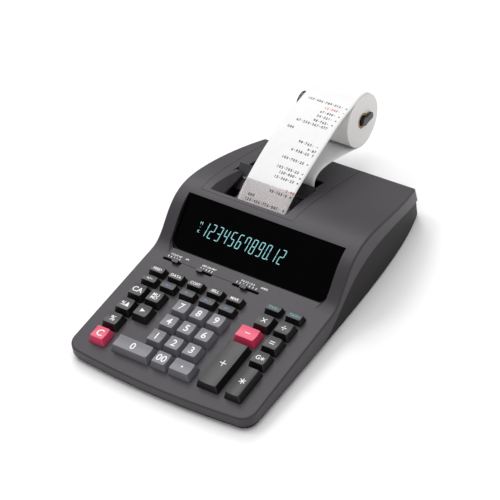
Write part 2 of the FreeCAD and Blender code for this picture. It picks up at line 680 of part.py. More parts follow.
def make_printer_frame():
    """Base plate, two cheeks, the carriage's shaft and the guide plate behind the paper."""
    base = box(FRAME_LEFT, FRAME_RIGHT, FRAME_FRONT_RUN, 262, 10, 12)
    cheek_outline = [(FRAME_FRONT_RUN, 10), (262, 10), (262, 50), (222, 56), (206, 53), (FRAME_FRONT_RUN, 38)]
    left = polygon_x(cheek_outline, FRAME_LEFT, FRAME_LEFT + CHEEK)
    right = polygon_x(cheek_outline, FRAME_RIGHT - CHEEK, FRAME_RIGHT)
    shaft = rod(CARRIAGE_SHAFT_RADIUS, FRAME_LEFT, FRAME_RIGHT, CARRIAGE_RUN, CARRIAGE_Z)
    guide = polygon_x([(GUIDE_LOW_RUN, GUIDE_LOW_Z), (GUIDE_TOP_RUN, GUIDE_TOP_Z),
                       (GUIDE_TOP_RUN + 1.0, GUIDE_TOP_Z - 0.8), (GUIDE_LOW_RUN + 2.2, GUIDE_LOW_Z - 2.2),
                       (GUIDE_LOW_RUN - 12, GUIDE_LOW_Z - 10), (GUIDE_LOW_RUN - 12, GUIDE_LOW_Z - 7.6),
                       (GUIDE_LOW_RUN - LEDGE_DEPTH, GUIDE_LOW_Z - 2.0), (GUIDE_LOW_RUN - LEDGE_DEPTH, GUIDE_LOW_Z)],
                      WELL_LEFT + GUIDE_LEFT_GAP, WELL_RIGHT - 0.6)
    legs = [box(x, x + 3, GUIDE_LOW_RUN - 4, GUIDE_LOW_RUN + 1, 11, GUIDE_LOW_Z - 2)
            for x in (WELL_LEFT + GUIDE_LEFT_GAP, WELL_RIGHT - 3.6)]
    frame = base.fuse([left, right, shaft, guide] + legs)
    bearing = rod(PLATEN_SHAFT_RADIUS + 0.05, FRAME_LEFT - 1, FRAME_RIGHT + 1, PLATEN_RUN, PLATEN_Z)
    return frame.cut(bearing).removeSplitter()


def make_platen_roller():
    """The rubber roller that feeds the paper, on its shaft with a drive gear."""
    roller = rod(PLATEN_RADIUS, PAPER_LEFT - 4, PAPER_RIGHT + 2.5, PLATEN_RUN, PLATEN_Z)
    shaft = rod(PLATEN_SHAFT_RADIUS, FRAME_LEFT - 6, FRAME_RIGHT + 1.5, PLATEN_RUN, PLATEN_Z)
    gear = rod(5.0, FRAME_LEFT - 5, FRAME_LEFT - 1, PLATEN_RUN, PLATEN_Z)
    return roller.fuse([shaft, gear]).removeSplitter()


def make_print_carriage():
    """The print unit that slides from side to side on its shaft."""
    middle_x = (PAPER_LEFT + PAPER_RIGHT) / 2
    body = box(middle_x - 8, middle_x + 8, CARRIAGE_RUN - 5.5, CARRIAGE_RUN + 6, CARRIAGE_Z - 5, CARRIAGE_Z + 8)
    bore = rod(CARRIAGE_SHAFT_RADIUS + 0.06, middle_x - 10, middle_x + 10, CARRIAGE_RUN, CARRIAGE_Z)
    return body.cut(bore)


def make_ribbon_cassette():
    """The closed cassette of two-colour ribbon below the platen."""
    middle_x = (PAPER_LEFT + PAPER_RIGHT) / 2
    shell = box(middle_x - 33, middle_x + 33, 211, 251, 12.0, 24.0)
    spools = [Part.makeCylinder(13, 3, at(middle_x + side * 18, 231, 24.0)) for side in (-1, 1)]
    return shell.fuse(spools).removeSplitter()


def make_transformer():
    """Laminated core with its winding, fixed to the floor."""
    core = box(44, 84, 236, 272, FLOOR_TOP_Z, FLOOR_TOP_Z + 34)
    winding = box(50, 78, 229, 279, FLOOR_TOP_Z + 6, FLOOR_TOP_Z + 28)
    return core.fuse(winding).removeSplitter()


# ---- paper and its holder ------------------------------------------------------------
def strip_solid(points, thickness):
    """A closed strip of paper that follows a smooth line of (run, z) points."""
    curve = Part.BSplineCurve()
    curve.interpolate([at(PAPER_LEFT, run, z) for run, z in points])
    first = curve.FirstParameter
    last = curve.LastParameter
    count = 90
    above = []
    below = []
    for index in range(count + 1):
        parameter = first + (last - first) * index / count
        place = curve.value(parameter)
        tangent = curve.tangent(parameter)[0]
        normal = V(0, -tangent.z, tangent.y) * (thickness / 2)
        above.append(place + normal)
        below.append(place - normal)
    outer = Part.BSplineCurve()
    outer.interpolate(above)
    inner = Part.BSplineCurve()
    inner.interpolate(list(reversed(below)))
    edges = [outer.toShape(), line(above[-1], below[-1]), inner.toShape(), line(below[0], above[0])]
    return Part.Face(Part.Wire(edges)).extrude(V(PAPER_WIDTH, 0, 0))


def around(run, z, radius, angles):
    """Points on a circle in the side view."""
    return [(run + radius * math.cos(math.radians(angle)), z + radius * math.sin(math.radians(angle)))
            for angle in angles]


def make_paper_strip():
    """One strip: from under the roll, over to the slot, round the platen and back over the roll."""
    roll_path = ROLL_RADIUS + PAPER_GAP + PAPER_THICKNESS / 2
    platen_path = PLATEN_RADIUS + PAPER_GAP + PAPER_THICKNESS / 2
    leaving = around(ROLL_RUN, ROLL_Z, roll_path, (290, 275, 262, 250))
    arch = [(338, 54.5), (322, 60.2), (307, 65.2), (295, 68.1), (283, 68.9), (274.5, 65.6), (270.4, 58.0),
            (265.5, 48.0), (256, 42.0), (240, 39.8), (222, 39.8)]
    platen = around(PLATEN_RUN, PLATEN_Z, platen_path, (270, 240, 210, 180, 150, 125))
    rising = [(218.5, 62.3), (228, 67.8), (240, 73.6), (262, 81.4), (284, 88.4), (306, 94.6), (328, 100.4)]
    over = around(ROLL_RUN, ROLL_Z, roll_path, (107, 92, 77, 62, 47))
    return strip_solid(leaving + arch + platen + rising + over, PAPER_THICKNESS)


def make_paper_roll():
    roll = rod(ROLL_RADIUS, PAPER_LEFT, PAPER_RIGHT, ROLL_RUN, ROLL_Z)
    return roll.cut(rod(CORE_OUTER_RADIUS, PAPER_LEFT - 1, PAPER_RIGHT + 1, ROLL_RUN, ROLL_Z))


def make_roll_core():
    core = rod(CORE_OUTER_RADIUS, PAPER_LEFT, PAPER_RIGHT, ROLL_RUN, ROLL_Z)
    return core.cut(rod(CORE_BORE_RADIUS, PAPER_LEFT - 1, PAPER_RIGHT + 1, ROLL_RUN, ROLL_Z))


ARM_LEFT = -62.0
ARM_RIGHT = -57.0
ARM_HEAD_RADIUS = 12.0
ARM_FOOT_RUN = 341.0


def make_roll_holder():
    """One arm up from the back wall, with a spindle to the right that ends in a bent catch."""
    head = rod(ARM_HEAD_RADIUS, ARM_LEFT, ARM_RIGHT, ROLL_RUN, ROLL_Z)
    arm = polygon_x([(ROLL_RUN - 10, ROLL_Z + 6), (ROLL_RUN + 11, ROLL_Z - 4), (ARM_FOOT_RUN + 12, 34),
                     (ARM_FOOT_RUN + 9, 21), (CASE_LENGTH + 0.2, 21), (CASE_LENGTH + 0.2, 29),
                     (ARM_FOOT_RUN, 42)], ARM_LEFT, ARM_RIGHT)
    spindle = rod(SPINDLE_RADIUS, ARM_LEFT, PAPER_RIGHT + 4, ROLL_RUN, ROLL_Z)
    boss = rod(8.0, ARM_RIGHT - 1, PAPER_LEFT - 1.0, ROLL_RUN, ROLL_Z)
    catch = box(PAPER_RIGHT + 1.2, PAPER_RIGHT + 4, ROLL_RUN - 3, ROLL_RUN + 14, ROLL_Z - 3.6, ROLL_Z + 3.6)
    catch = catch.makeFillet(2.4, [edge for edge in catch.Edges
                                   if edge.BoundBox.YLength < 0.01 and edge.BoundBox.ZLength < 0.01])
    foot = box(ARM_LEFT - 8, ARM_RIGHT + 8, CASE_LENGTH + 0.2, CASE_LENGTH + 3.2, 21, 29)
    return head.fuse([arm, spindle, boss, catch, foot]).removeSplitter()


def make_paper_cutter():
    """The clear smoked tear plate over the strip, with two ears under the cover's rim."""
    length = 24.6
    width = PAPER_WIDTH + 1.0
    flat = lambda a, b: V(a, b, 0)
    radius = 4.0
    edges = [
        line(V(-width / 2 + radius, 0, 0), V(width / 2 - radius, 0, 0)),
        arc((width / 2 - radius, radius), radius, -90, 0, flat),
        line(V(width / 2, radius, 0), V(width / 2, length, 0)),
        line(V(width / 2, length, 0), V(-width / 2, length, 0)),
        line(V(-width / 2, length, 0), V(-width / 2, radius, 0)),
        arc((-width / 2 + radius, radius), radius, 180, 270, flat),
    ]
    plate = Part.Face(Part.Wire(edges)).extrude(V(0, 0, 1.0))
    angle = math.degrees(math.atan2(73.6 - 62.3, 240 - 218.5))
    plate = tilt(plate, angle, (PAPER_LEFT + PAPER_RIGHT) / 2, 216.6, 62.9)
    ears = [box(x, x + 2.4, 212.0, 219.0, 62.4, 63.7) for x in (PAPER_LEFT - 2.0, PAPER_RIGHT - 0.4)]
    return plate.fuse(ears).removeSplitter()


# ---- write every node ----------------------------------------------------------------
def build():
    shell = make_case_shell()
    nodes = {
        "upper_case": make_upper_case(shell),
        "printer_cover": make_printer_cover(shell),
        "lower_case": make_lower_case(),
        "rubber_feet": make_rubber_feet(),
        "case_screws": make_case_screws(),
        "cord_inlet": make_cord_inlet(),
        "main_board": make_main_board(),
        "key_mat": make_key_mat(),
        "display_window": make_display_window(),
        "display_tube": make_display_tube(),
        "printer_frame": make_printer_frame(),
        "platen_roller": make_platen_roller(),
        "print_carriage": make_print_carriage(),
        "ribbon_cassette": make_ribbon_cassette(),
        "transformer": make_transformer(),
        "paper_strip": make_paper_strip(),
        "paper_roll": make_paper_roll(),
        "roll_core": make_roll_core(),
        "roll_holder": make_roll_holder(),
        "paper_cutter": make_paper_cutter(),
    }
    for name, x, run, top, height in all_keys():
        nodes[name] = make_key(x, run, top, height)
    for name, left, right, knob in SWITCHES:
        nodes[name] = make_switch_knob(knob)
    return nodes


os.makedirs("parts", exist_ok=True)
for node_name, node_shape in build().items():
    node_shape.exportStep("parts/" + node_name + ".step")
    limits = node_shape.BoundBox
    print(node_name, node_shape.isValid(), len(node_shape.Solids), round(node_shape.Volume),
          [round(value, 1) for value in (limits.XMin, limits.XMax, limits.YMin, limits.YMax,
                                         limits.ZMin, limits.ZMax)])
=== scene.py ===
import json
import math

import bpy
from mathutils import Matrix, Vector
from mathutils.bvhtree import BVHTree


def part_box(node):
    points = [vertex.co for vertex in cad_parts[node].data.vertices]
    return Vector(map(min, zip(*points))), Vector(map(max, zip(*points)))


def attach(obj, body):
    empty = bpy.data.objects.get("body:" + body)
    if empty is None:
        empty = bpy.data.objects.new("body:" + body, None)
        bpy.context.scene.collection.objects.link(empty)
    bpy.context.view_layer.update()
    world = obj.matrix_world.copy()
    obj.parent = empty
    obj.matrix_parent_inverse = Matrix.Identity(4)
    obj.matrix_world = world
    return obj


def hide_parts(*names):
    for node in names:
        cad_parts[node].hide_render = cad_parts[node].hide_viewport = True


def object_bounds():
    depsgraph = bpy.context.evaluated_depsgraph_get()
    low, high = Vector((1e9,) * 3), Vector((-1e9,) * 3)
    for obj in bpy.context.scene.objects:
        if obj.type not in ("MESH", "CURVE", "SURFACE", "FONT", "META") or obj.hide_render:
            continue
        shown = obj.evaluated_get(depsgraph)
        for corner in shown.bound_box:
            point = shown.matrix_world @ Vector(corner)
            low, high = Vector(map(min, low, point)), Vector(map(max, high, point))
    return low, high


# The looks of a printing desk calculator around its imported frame.  Metres, +X right, +Y back, +Z up.

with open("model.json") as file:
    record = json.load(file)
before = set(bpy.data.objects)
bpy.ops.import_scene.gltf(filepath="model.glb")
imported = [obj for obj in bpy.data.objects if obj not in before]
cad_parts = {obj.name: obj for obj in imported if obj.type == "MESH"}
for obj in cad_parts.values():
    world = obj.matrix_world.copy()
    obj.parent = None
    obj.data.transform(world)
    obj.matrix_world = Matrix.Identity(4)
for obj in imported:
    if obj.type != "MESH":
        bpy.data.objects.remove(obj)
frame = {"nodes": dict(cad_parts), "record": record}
CAD_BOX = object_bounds()
MM = 0.001
NODES = frame["nodes"]

# ---- places taken from the frame -----------------------------------------------------
DECK_TILT = math.radians(4.2)
DECK_NORMAL = Vector((0.0, -math.sin(DECK_TILT), math.cos(DECK_TILT)))
DECK_BACKWARD = Vector((0.0, math.cos(DECK_TILT), math.sin(DECK_TILT)))
FRONT_Y = CAD_BOX[0][1]

WINDOW_TILT = math.radians(41.14)
WINDOW_UP = Vector((0.0, math.cos(WINDOW_TILT), math.sin(WINDOW_TILT)))
WINDOW_NORMAL = Vector((0.0, -math.sin(WINDOW_TILT), math.cos(WINDOW_TILT)))

ROLL_LOW, ROLL_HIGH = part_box("paper_roll")
ROLL_AXIS_Y = (ROLL_LOW[1] + ROLL_HIGH[1]) / 2
ROLL_AXIS_Z = (ROLL_LOW[2] + ROLL_HIGH[2]) / 2
ROLL_RADIUS = (ROLL_HIGH[2] - ROLL_LOW[2]) / 2
PLATEN_LOW, PLATEN_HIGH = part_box("platen_roller")
PLATEN_Y = (PLATEN_LOW[1] + PLATEN_HIGH[1]) / 2
PLATEN_Z = (PLATEN_LOW[2] + PLATEN_HIGH[2]) / 2
PLATEN_RADIUS = (PLATEN_HIGH[2] - PLATEN_LOW[2]) / 2


def behind_front(run, z):
    """A side-view point, in mm behind the case's front edge and above the table."""
    return FRONT_Y + run * MM, z * MM


# ---- materials -----------------------------------------------------------------------
def new_material(name):
    """An empty node material with its Principled shader."""
    material = bpy.data.materials.new(name)
    material.use_nodes = True
    shader = material.node_tree.nodes["Principled BSDF"]
    return material, material.node_tree, shader


def object_noise(tree, scale, detail=4.0):
    """A noise in the object's own space; every object sits at the origin, so it is in metres."""
    place = tree.nodes.new("ShaderNodeTexCoord")
    noise = tree.nodes.new("ShaderNodeTexNoise")
    noise.inputs["Scale"].default_value = scale
    noise.inputs["Detail"].default_value = detail
    tree.links.new(place.outputs["Object"], noise.inputs["Vector"])
    return noise


def colour_between(tree, factor, low, high):
    """A colour that runs from low to high as the factor goes over its middle range."""
    ramp = tree.nodes.new("ShaderNodeValToRGB")
    ramp.color_ramp.elements[0].position = 0.3
    ramp.color_ramp.elements[1].position = 0.7
    ramp.color_ramp.elements[0].color = (*low, 1.0)
    ramp.color_ramp.elements[1].color = (*high, 1.0)
    tree.links.new(factor, ramp.inputs["Fac"])
    return ramp.outputs["Color"]


def value_between(tree, factor, low, high):
    """A number that runs from low to high with the factor."""
    span = tree.nodes.new("ShaderNodeMapRange")
    span.inputs["From Min"].default_value = 0.3
    span.inputs["From Max"].default_value = 0.7
    span.inputs["To Min"].default_value = low
    span.inputs["To Max"].default_value = high
    tree.links.new(factor, span.inputs["Value"])
    return span.outputs["Result"]


def add_bump(tree, shader, height, strength, distance):
    """A surface relief; distance is its depth in metres."""
    bump = tree.nodes.new("ShaderNodeBump")
    bump.inputs["Strength"].default_value = strength
    bump.inputs["Distance"].default_value = distance
    tree.links.new(height, bump.inputs["Height"])
    tree.links.new(bump.outputs["Normal"], shader.inputs["Normal"])


def scaled(colour, factor):
    """A colour made darker or lighter by a factor."""
    return tuple(channel * factor for channel in colour)


def grained(name, colour, roughness, grain, strength, specular=0.5, coat=0.0):
    """Moulded plastic: fine spark-eroded grain, faint shade changes and uneven gloss."""
    material, tree, shader = new_material(name)
    shade = object_noise(tree, 22.0, 3.0)
    fine = object_noise(tree, grain, 3.0)
    varied = colour_between(tree, shade.outputs["Fac"], scaled(colour, 0.93), scaled(colour, 1.07))
    tree.links.new(varied, shader.inputs["Base Color"])
    tree.links.new(value_between(tree, fine.outputs["Fac"], roughness - 0.05, roughness + 0.06),
                   shader.inputs["Roughness"])
    add_bump(tree, shader, fine.outputs["Fac"], strength, 0.00008)
    shader.inputs["Specular IOR Level"].default_value = specular
    shader.inputs["Coat Weight"].default_value = coat
    shader.inputs["Coat Roughness"].default_value = 0.25
    return material


def window_material():
    """Polished black acrylic with the faintest haze."""
    material, tree, shader = new_material("window_gloss")
    haze = object_noise(tree, 60.0, 5.0)
    depth = colour_between(tree, haze.outputs["Fac"], (0.0006, 0.0006, 0.0007), (0.001, 0.001, 0.0012))
    tree.links.new(depth, shader.inputs["Base Color"])
    tree.links.new(value_between(tree, haze.outputs["Fac"], 0.05, 0.09), shader.inputs["Roughness"])
    shader.inputs["Specular IOR Level"].default_value = 0.025
    return material


def glow_material(name, colour, strength):
    """A lit segment, a little uneven along its length."""
    material, tree, shader = new_material(name)
    uneven = object_noise(tree, 500.0, 2.0)
    tree.links.new(colour_between(tree, uneven.outputs["Fac"], scaled(colour, 0.8), colour),
                   shader.inputs["Emission Color"])
    shader.inputs["Emission Strength"].default_value = strength
    shader.inputs["Base Color"].default_value = (0.02, 0.05, 0.05, 1.0)
    return material


def paper_material(name, colour):
    """Uncoated paper with fibre mottle."""
    material, tree, shader = new_material(name)
    fibre = object_noise(tree, 1400.0, 6.0)
    mottle = object_noise(tree, 120.0, 3.0)
    tree.links.new(colour_between(tree, mottle.outputs["Fac"], scaled(colour, 0.975), colour),
                   shader.inputs["Base Color"])
    tree.links.new(value_between(tree, fibre.outputs["Fac"], 0.75, 0.9), shader.inputs["Roughness"])
    add_bump(tree, shader, fibre.outputs["Fac"], 0.25, 0.00004)
    shader.inputs["Specular IOR Level"].default_value = 0.2
    return material


def roll_material(name, colour, dark, turn_thickness):
    """Wound paper: on the ends each turn shows as a fine ring round the axis."""
    material, tree, shader = new_material(name)
    place = tree.nodes.new("ShaderNodeTexCoord")
    shift = tree.nodes.new("ShaderNodeMapping")
    shift.inputs["Location"].default_value = (0.0, -ROLL_AXIS_Y, -ROLL_AXIS_Z)
    flatten = tree.nodes.new("ShaderNodeVectorMath")
    flatten.operation = "MULTIPLY"
    flatten.inputs[1].default_value = (0.0, 1.0, 1.0)
    radius = tree.nodes.new("ShaderNodeVectorMath")
    radius.operation = "LENGTH"
    rings = tree.nodes.new("ShaderNodeTexNoise")
    rings.noise_dimensions = "1D"
    rings.inputs["Scale"].default_value = 1.0 / turn_thickness
    rings.inputs["Detail"].default_value = 5.0
    tree.links.new(place.outputs["Object"], shift.inputs["Vector"])
    tree.links.new(shift.outputs["Vector"], flatten.inputs[0])
    tree.links.new(flatten.outputs["Vector"], radius.inputs[0])
    tree.links.new(radius.outputs["Value"], rings.inputs["W"])
    tree.links.new(colour_between(tree, rings.outputs["Fac"], dark, colour), shader.inputs["Base Color"])
    add_bump(tree, shader, rings.outputs["Fac"], 0.35, 0.0001)
    shader.inputs["Roughness"].default_value = 0.85
    shader.inputs["Specular IOR Level"].default_value = 0.2
    return material


def smoked_material():
    """Smoked clear acrylic: tinted, smooth, see-through."""
    material, tree, shader = new_material("smoked_clear")
    haze = object_noise(tree, 200.0, 3.0)
    tint = colour_between(tree, haze.outputs["Fac"], (0.79, 0.765, 0.77), (0.83, 0.80, 0.805))
    tree.links.new(tint, shader.inputs["Base Color"])
    tree.links.new(value_between(tree, haze.outputs["Fac"], 0.0, 0.015), shader.inputs["Roughness"])
    shader.inputs["Transmission Weight"].default_value = 1.0
    shader.inputs["IOR"].default_value = 1.08
    return material


def metal_material(name, colour, roughness):
    """Bare metal with a fine uneven finish."""
    material, tree, shader = new_material(name)
    streak = object_noise(tree, 900.0, 5.0)
    tree.links.new(colour_between(tree, streak.outputs["Fac"], scaled(colour, 0.85), colour),
                   shader.inputs["Base Color"])
    tree.links.new(value_between(tree, streak.outputs["Fac"], roughness - 0.08, roughness + 0.1),
                   shader.inputs["Roughness"])
    add_bump(tree, shader, streak.outputs["Fac"], 0.1, 0.00005)
    shader.inputs["Metallic"].default_value = 1.0
    return material


def ink_material(name, colour):
    """Printed ink: matt, with a patchy density."""
    material, tree, shader = new_material(name)
    patch = object_noise(tree, 1800.0, 2.0)
    tree.links.new(colour_between(tree, patch.outputs["Fac"], scaled(colour, 0.85), scaled(colour, 1.1)),
                   shader.inputs["Base Color"])
    shader.inputs["Roughness"].default_value = 0.6
    return material


CASE_COLOUR = (0.0375, 0.0325, 0.0395)
BASE_COLOUR = (0.0095, 0.0068, 0.0078)
GREY_KEY_COLOUR = (0.138, 0.138, 0.158)
BLACK_KEY_COLOUR = (0.006, 0.006, 0.0065)
PINK_KEY_COLOUR = (0.68, 0.047, 0.122)

MATERIALS = {
    "case_grey": grained("case_grain", CASE_COLOUR, 0.44, 1500.0, 0.28, specular=0.36),
    "base_grey": grained("base_grain", BASE_COLOUR, 0.55, 1300.0, 0.3, specular=0.22),
    "black_key": grained("black_key_satin", BLACK_KEY_COLOUR, 0.36, 1900.0, 0.14),
    "grey_key": grained("grey_key_satin", GREY_KEY_COLOUR, 0.36, 1900.0, 0.14),
    "pink_key": grained("pink_key_satin", PINK_KEY_COLOUR, 0.34, 1900.0, 0.12),
    "window_black": window_material(),
    "tube_glass": grained("tube_glass_grey", (0.05, 0.06, 0.06), 0.1, 300.0, 0.02, coat=0.6),
    "frame_plastic": grained("frame_satin", (0.030, 0.029, 0.033), 0.34, 1200.0, 0.12),
    "black_plastic": grained("black_satin", (0.012, 0.012, 0.013), 0.38, 1200.0, 0.15),
    "holder_black": grained("holder_satin", (0.010, 0.010, 0.011), 0.28, 900.0, 0.08),
    "platen_rubber": grained("platen_matt", (0.02, 0.02, 0.021), 0.7, 2400.0, 0.3),
    "foot_rubber": grained("foot_matt", (0.018, 0.018, 0.018), 0.75, 1600.0, 0.3),
    "mat_rubber": grained("mat_silicone", (0.32, 0.32, 0.33), 0.55, 1200.0, 0.1),
    "circuit_board": grained("board_green", (0.02, 0.12, 0.05), 0.35, 800.0, 0.1, coat=0.3),
    "core_iron": metal_material("core_laminated", (0.16, 0.14, 0.13), 0.45),
    "steel": metal_material("screw_steel", (0.55, 0.55, 0.56), 0.32),
    "paper": roll_material("roll_turns", (0.92, 0.91, 0.90), (0.80, 0.79, 0.78), 0.00035),
    "core_card": roll_material("core_turns", (0.48, 0.33, 0.20), (0.32, 0.20, 0.11), 0.0006),
    "smoked_clear": smoked_material(),
}
# Painted shade: the strip is the roll's paper, but it gets a darker colour (0.80 against the roll's 0.92)
# so that it reads greyer.
STRIP_PAPER_PAINTED_SHADE = paper_material("strip_paper_painted_shade", (0.80, 0.80, 0.80))
WHITE_INK = ink_material("legend_white", (0.82, 0.82, 0.80))
BLUE_INK = ink_material("legend_blue", (0.10, 0.17, 0.29))
TEAL_INK = ink_material("legend_teal", (0.12, 0.36, 0.40))
DARK_INK = ink_material("print_dark", (0.02, 0.02, 0.03))
RED_INK = ink_material("print_red", (0.55, 0.03, 0.05))
DIGIT_GLOW = glow_material("digit_cyan", (0.36, 0.80, 0.83), 0.95)


def dress_frame():
    """Gives every CAD node the material of its slot."""
    for entry in frame["record"]["subparts"]:
        node = NODES[entry["node"]]
        material = MATERIALS[entry["material_slot"]]
        node.data.materials.clear()
        node.data.materials.append(material)


# ---- pieces made of flat outlines laid on a surface -----------------------------------
def mesh_piece(name, vertices, faces, material, body):
    """A piece of the looks: its mesh, its material and the body that it rides on."""
    mesh = bpy.data.meshes.new(name)
    mesh.from_pydata([tuple(v) for v in vertices], [], faces)
    mesh.materials.append(material)
    mesh.update()
    piece = bpy.data.objects.new(name, mesh)
    bpy.context.scene.collection.objects.link(piece)
    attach(piece, body)
    return piece


CAPITAL_SHARE = 0.70


def text_outline(text, height, weight=0.0, squeeze=1.0, line_gap=1.0):
    """Flat letters about the origin, as vertices (x, y) in metres and faces.

    The height is a capital's, which is CAPITAL_SHARE of the font's size; weight thickens the strokes.
    """
    curve = bpy.data.curves.new("letters", "FONT")
    curve.body = text
    curve.size = height / CAPITAL_SHARE
    curve.offset = weight
    curve.align_x = "CENTER"
    curve.space_line = line_gap
    curve.resolution_u = 3
    holder = bpy.data.objects.new("letters", curve)
    bpy.context.scene.collection.objects.link(holder)
    bpy.context.view_layer.update()
    mesh = bpy.data.meshes.new_from_object(holder.evaluated_get(bpy.context.evaluated_depsgraph_get()))
    points = [(vertex.co.x * squeeze, vertex.co.y) for vertex in mesh.vertices]
    faces = [tuple(polygon.vertices) for polygon in mesh.polygons]
    bpy.data.objects.remove(holder)
    bpy.data.curves.remove(curve)
    bpy.data.meshes.remove(mesh)
    low = min(y for x, y in points)
    high = max(y for x, y in points)
    left = min(x for x, y in points)
    right = max(x for x, y in points)
    middle = ((left + right) / 2, (low + high) / 2)
    return [(x - middle[0], y - middle[1]) for x, y in points], faces


def surface_of(node):
    """A search tree over a CAD node's surface."""
    mesh = NODES[node].data
    vertices = [vertex.co.copy() for vertex in mesh.vertices]
    return BVHTree.FromPolygons(vertices, [tuple(polygon.vertices) for polygon in mesh.polygons])


RIGHT = Vector((1.0, 0.0, 0.0))
LEGEND_LIFT = 0.00004
DROP_HEIGHT = 0.02
KEY_TOP_SHIFT = 0.0006


def lay_on_deck(points, centre, surface):
    """Drops flat points onto a surface along the deck's normal, and lifts them a little."""
    laid = []
    for x, y in points:
        place = centre + RIGHT * x + DECK_BACKWARD * y
        start = place + DECK_NORMAL * DROP_HEIGHT
        hit = surface.ray_cast(start, -DECK_NORMAL)[0]
        laid.append((hit if hit is not None else place) + DECK_NORMAL * LEGEND_LIFT)
    return laid


def key_centre(node):
    """Where a key's legend is centred: the tilted cap's top lies a little in front of its box's middle."""
    low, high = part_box(node)
    middle = (Vector(low) + Vector(high)) / 2
    return Vector((middle.x, middle.y - KEY_TOP_SHIFT, high[2]))


def star(arms, length, width, turn=0.0):
    """One outline of equal bars that cross at their middle; four arms make a plus."""
    points = []
    notch = width / 2 / math.sin(math.pi / arms)
    for arm in range(arms):
        angle = turn + math.pi / 2 + arm * 2 * math.pi / arms
        along = Vector((math.cos(angle), math.sin(angle)))
        across = Vector((along.y, -along.x)) * width / 2
        inward = angle + math.pi / arms
        points += [tuple(along * length / 2 + across), tuple(along * length / 2 - across),
                   (notch * math.cos(inward), notch * math.sin(inward))]
    return points, [tuple(range(len(points)))]


def disc(radius, middle=(0.0, 0.0), corners=16):
    """A round dot."""
    turns = [2 * math.pi * corner / corners for corner in range(corners)]
    points = [(middle[0] + radius * math.cos(turn), middle[1] + radius * math.sin(turn)) for turn in turns]
    return points, [tuple(range(corners))]


def bar(width, height, middle_y=0.0):
    """An upright or flat bar."""
    half = width / 2
    low = middle_y - height / 2
    high = middle_y + height / 2
    return [(-half, low), (half, low), (half, high), (-half, high)], [(0, 1, 2, 3)]


def joined(*outlines):
    """Several outlines as one list of points and faces."""
    points = []
    faces = []
    for more_points, more_faces in outlines:
        base = len(points)
        points += more_points
        faces += [tuple(corner + base for corner in face) for face in more_faces]
    return points, faces


def shifted(outline, dx, dy):
    """An outline moved by dx and dy."""
    points, faces = outline
    return [(x + dx, y + dy) for x, y in points], faces


# ---- key legends ---------------------------------------------------------------------
LARGE = 0.0077
MEDIUM = 0.0060
SMALL = 0.0032
LINE = 0.0009
THIN_LINE = 0.0007
DOT = 0.0007
LEGEND_WEIGHT = 0.022
WORD_LEGENDS = {
    "key_feed": ("FEED", SMALL, WHITE_INK), "key_data": ("DATA", SMALL, WHITE_INK),
    "key_cost": ("COST", SMALL, WHITE_INK), "key_sell": ("SELL", SMALL, WHITE_INK),
    "key_margin": ("MAR", SMALL, WHITE_INK), "key_sign": ("+/−", SMALL * 1.1, WHITE_INK),
    "key_memory_plus": ("M+", SMALL, BLUE_INK), "key_memory_minus": ("M−", SMALL, BLUE_INK),
    "key_memory_subtotal": ("M◇", SMALL, BLUE_INK), "key_memory_total": ("M*", SMALL, BLUE_INK),
    "key_tax_minus": ("TAX−", SMALL, TEAL_INK), "key_tax_plus": ("TAX+", SMALL, TEAL_INK),
    "key_clear_all": ("CA", MEDIUM, WHITE_INK), "key_markup": ("MU\nMD", 0.0037, WHITE_INK),
    "key_percent_change": ("%Δ", 0.0050, WHITE_INK), "key_percent": ("%", MEDIUM, WHITE_INK),
    "key_clear": ("C", LARGE, WHITE_INK), "key_00": ("00", LARGE, WHITE_INK),
}
WORD_LEGENDS.update({f"key_{digit}": (str(digit), LARGE, WHITE_INK) for digit in range(10)})

GRAND_G = text_outline("G", 0.0050, weight=0.0001)
GRAND_STAR = star(6, 0.0044, THIN_LINE)
SHAPE_LEGENDS = {
    "key_multiply": star(4, 0.0068, LINE, math.pi / 4),
    "key_divide": joined(bar(0.0058, LINE), disc(DOT, (0.0, 0.0021)), disc(DOT, (0.0, -0.0021))),
    "key_equals": joined(bar(0.0054, LINE, 0.0012), bar(0.0054, LINE, -0.0012)),
    "key_grand_total": joined(shifted(GRAND_G, -0.0022, 0.0), shifted(GRAND_STAR, 0.0029, -0.0003)),
    "key_total": star(6, 0.0070, LINE),
    "key_plus": star(4, 0.0070, LINE),
    "key_minus": bar(0.0056, LINE),
    "key_point": disc(0.0011),
    "key_backspace": ([(-0.0024, -0.0023), (0.0028, 0.0), (-0.0024, 0.0023)], [(0, 1, 2)]),
}


def add_key_legend(node, outline, ink):
    """One legend on its key's top, which it rides on."""
    points, faces = outline
    laid = lay_on_deck(points, key_centre(node), surface_of(node))
    mesh_piece("legend_" + node.removeprefix("key_"), laid, faces, ink, node)


def add_key_legends():
    """The words, digits and signs on the 37 keys."""
    for node, (text, height, ink) in WORD_LEGENDS.items():
        words = text_outline(text, height, weight=height * LEGEND_WEIGHT, line_gap=0.78)
        add_key_legend(node, words, ink)
    for node, outline in SHAPE_LEGENDS.items():
        add_key_legend(node, outline, WHITE_INK)


# ---- switch legends on the deck -------------------------------------------------------
# Each switch: the printed words, their x in mm, then the x of its ticks.
SWITCH_WORDS = [("F CUT UP", -77.5, (-85.0, -81.6, -78.2, -74.8, -71.4)), ("5/4", -64.5, ()),
                ("OFF ON PRT", -37.5, (-45.5, -42.1, -38.7, -35.3, -31.9)),
                ("F 6 3 2 1 0 A", 9.5, (-1.6, 2.2, 6.0, 9.8, 13.6, 17.4, 21.2)), ("ADD2", 28.5, ())]
WORDS_RUN = 150.6
TICKS_RUN = 146.9
SWITCH_WORD_HEIGHT = 0.0021
SWITCH_WORD_WEIGHT = 0.0001
TICK_WIDTH = 0.0008
TICK_LENGTH = 0.0026
DECK_SEARCH_Z = 0.016


def deck_place(x, run):
    """A point just over the deck, from its x and its distance behind the front edge, in mm."""
    return Vector((x * MM, FRONT_Y + run * MM, DECK_SEARCH_Z + run * MM * math.tan(DECK_TILT)))


